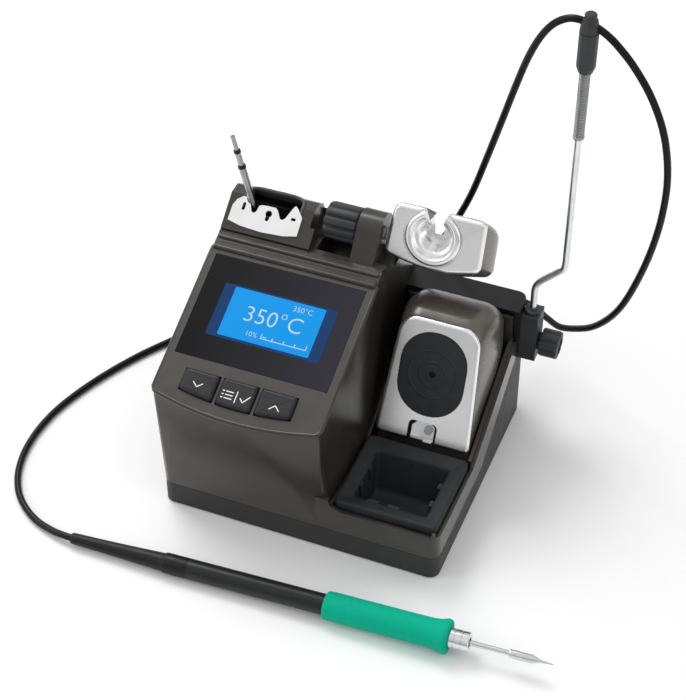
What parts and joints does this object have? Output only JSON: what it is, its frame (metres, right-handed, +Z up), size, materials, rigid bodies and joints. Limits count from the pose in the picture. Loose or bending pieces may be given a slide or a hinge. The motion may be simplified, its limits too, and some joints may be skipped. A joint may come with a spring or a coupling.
{
  "type": "soldering iron station",
  "caption": "Bench soldering station with a sloping display console, hooded tip cleaner, waste tray, tilting tool holder, sprung cable arm and a corded iron.",
  "frame": {"origin": "centre of the base in plan, on the surface that the feet stand on", "axes": "+X to the right, -Y to the front where the display faces, +Z up"},
  "size_m": [0.3388, 0.245, 0.2861],
  "materials": {
    "base_plastic": "satin moulded, dark grey",
    "casing": "satin dark bronze grey",
    "hood": "satin bronze grey",
    "panel": "satin dark grey",
    "display_glass": "dark gloss",
    "lcd": "lit blue",
    "key": "satin dark grey",
    "board": "green laminate",
    "black_plastic": "moulded black",
    "rubber": "matt dark grey",
    "steel": "zinc plated",
    "satin_metal": "satin silver",
    "polished": "polished",
    "cartridge": "fine turned",
    "knob": "satin grey",
    "tray": "matt black",
    "spring": "drawn wire",
    "cord": "smooth black jacket",
    "relief": "matt black",
    "tube": "satin dark grey",
    "grip": "soft teal foam",
    "brass": "bright",
    "iron_core": "varnished laminations",
    "copper_coil": "varnished winding under tape",
    "alloy": "extruded"
  },
  "bodies": {
    "root": {"lower_casing": "base_plastic", "upper_casing": "casing", "rubber_feet": "rubber", "casing_screws": "steel", "transformer_core": "iron_core", "transformer_coil": "copper_coil", "transformer_screws": "steel", "main_board": "board", "power_heat_sink": "alloy", "panel_frame": "panel", "display_glass": "display_glass", "lcd_module": "lcd", "key_board": "board", "mains_inlet": "black_plastic", "inlet_screws": "steel", "switch_body": "black_plastic", "earth_socket": "brass", "tool_socket": "steel", "tool_plug": "black_plastic", "tip_plate": "satin_metal", "tip_pocket": "black_plastic", "cleaner_housing": "hood", "cleaner_cup": "steel", "brass_wool": "brass", "tip_wiper": "polished", "wiper_screw": "steel", "arm_bracket": "knob", "arm_bolt": "steel", "cord_station": "cord", "cord_iron": "cord"},
    "key_down_body": {"key_down": "key"},
    "key_menu_body": {"key_menu": "key"},
    "key_up_body": {"key_up": "key"},
    "fuse_body": {"fuse_drawer": "black_plastic"},
    "rocker_body": {"power_rocker": "black_plastic"},
    "spare_body": {"spare_cartridge": "cartridge", "spare_rings": "rubber"},
    "holder": {"holder_pivot": "steel", "holder_body": "hood", "holder_face": "satin_metal", "holder_funnel": "polished"},
    "holder_knob_body": {"holder_knob": "knob"},
    "cleaner_cover": {"cleaner_front": "satin_metal", "cleaner_membrane": "rubber"},
    "tray": {"waste_tray": "tray"},
    "arm": {"arm_rod": "polished", "arm_spring": "spring", "clip_body": "knob", "clip_cap": "knob"},
    "arm_knob_body": {"arm_knob": "knob"},
    "iron": {"iron_relief": "relief", "iron_tube": "tube", "iron_terminal": "black_plastic", "iron_grip": "grip", "iron_collar": "polished"},
    "cartridge": {"iron_cartridge": "cartridge", "iron_tip": "cartridge"}
  },
  "joints": [
    {"name": "key_down_press", "type": "slide", "parent": "root", "child": "key_down_body", "axis": [0, 0.3907, -0.9205], "range_m": [0, 0.001], "stiffness_N_per_m": 600},
    {"name": "key_menu_press", "type": "slide", "parent": "root", "child": "key_menu_body", "axis": [0, 0.3907, -0.9205], "range_m": [0, 0.001], "stiffness_N_per_m": 600},
    {"name": "key_up_press", "type": "slide", "parent": "root", "child": "key_up_body", "axis": [0, 0.3907, -0.9205], "range_m": [0, 0.001], "stiffness_N_per_m": 600},
    {"name": "power_rocker_tilt", "type": "hinge", "parent": "root", "child": "rocker_body", "pos_m": [-0.017, 0.0725, 0.028], "axis": [1, 0, 0], "range_deg": [-8, 8]},
    {"name": "fuse_drawer_pull", "type": "slide", "parent": "root", "child": "fuse_body", "axis": [0, 1, 0], "range_m": [0, 0.02]},
    {"name": "spare_lift", "type": "slide", "parent": "root", "child": "spare_body", "axis": [-0.2419, 0, 0.9703], "range_m": [0, 0.03]},
    {"name": "holder_tilt", "type": "hinge", "parent": "root", "child": "holder", "pos_m": [0, 0.04297, 0.13396], "axis": [1, 0, 0], "range_deg": [-4, 30]},
    {"name": "holder_knob_turn", "type": "hinge", "parent": "root", "child": "holder_knob_body", "pos_m": [-0.018, 0.04297, 0.13396], "axis": [1, 0, 0], "range_deg": [-180, 180]},
    {"name": "cleaner_cover_lift", "type": "slide", "parent": "root", "child": "cleaner_cover", "axis": [0, 0, 1], "range_m": [0, 0.03]},
    {"name": "tray_lift", "type": "slide", "parent": "root", "child": "tray", "axis": [0, 0, 1], "range_m": [0, 0.04]},
    {"name": "arm_swing", "type": "hinge", "parent": "root", "child": "arm", "pos_m": [0.0875, 0.068, 0.075], "axis": [0, 0, 1], "range_deg": [-45, 30], "deforming": ["cord_station"]},
    {"name": "arm_knob_turn", "type": "hinge", "parent": "root", "child": "arm_knob_body", "pos_m": [0.097, 0.068, 0.061], "axis": [1, 0, 0], "range_deg": [-180, 180]},
    {"name": "iron_lift", "type": "slide", "parent": "root", "child": "iron", "axis": [0, 0, 1], "range_m": [0, 0.08], "deforming": ["cord_iron"]},
    {"name": "cartridge_pull", "type": "slide", "parent": "iron", "child": "cartridge", "axis": [0.9992, 0.0314, 0.0244], "range_m": [0, 0.045]}
  ]
}
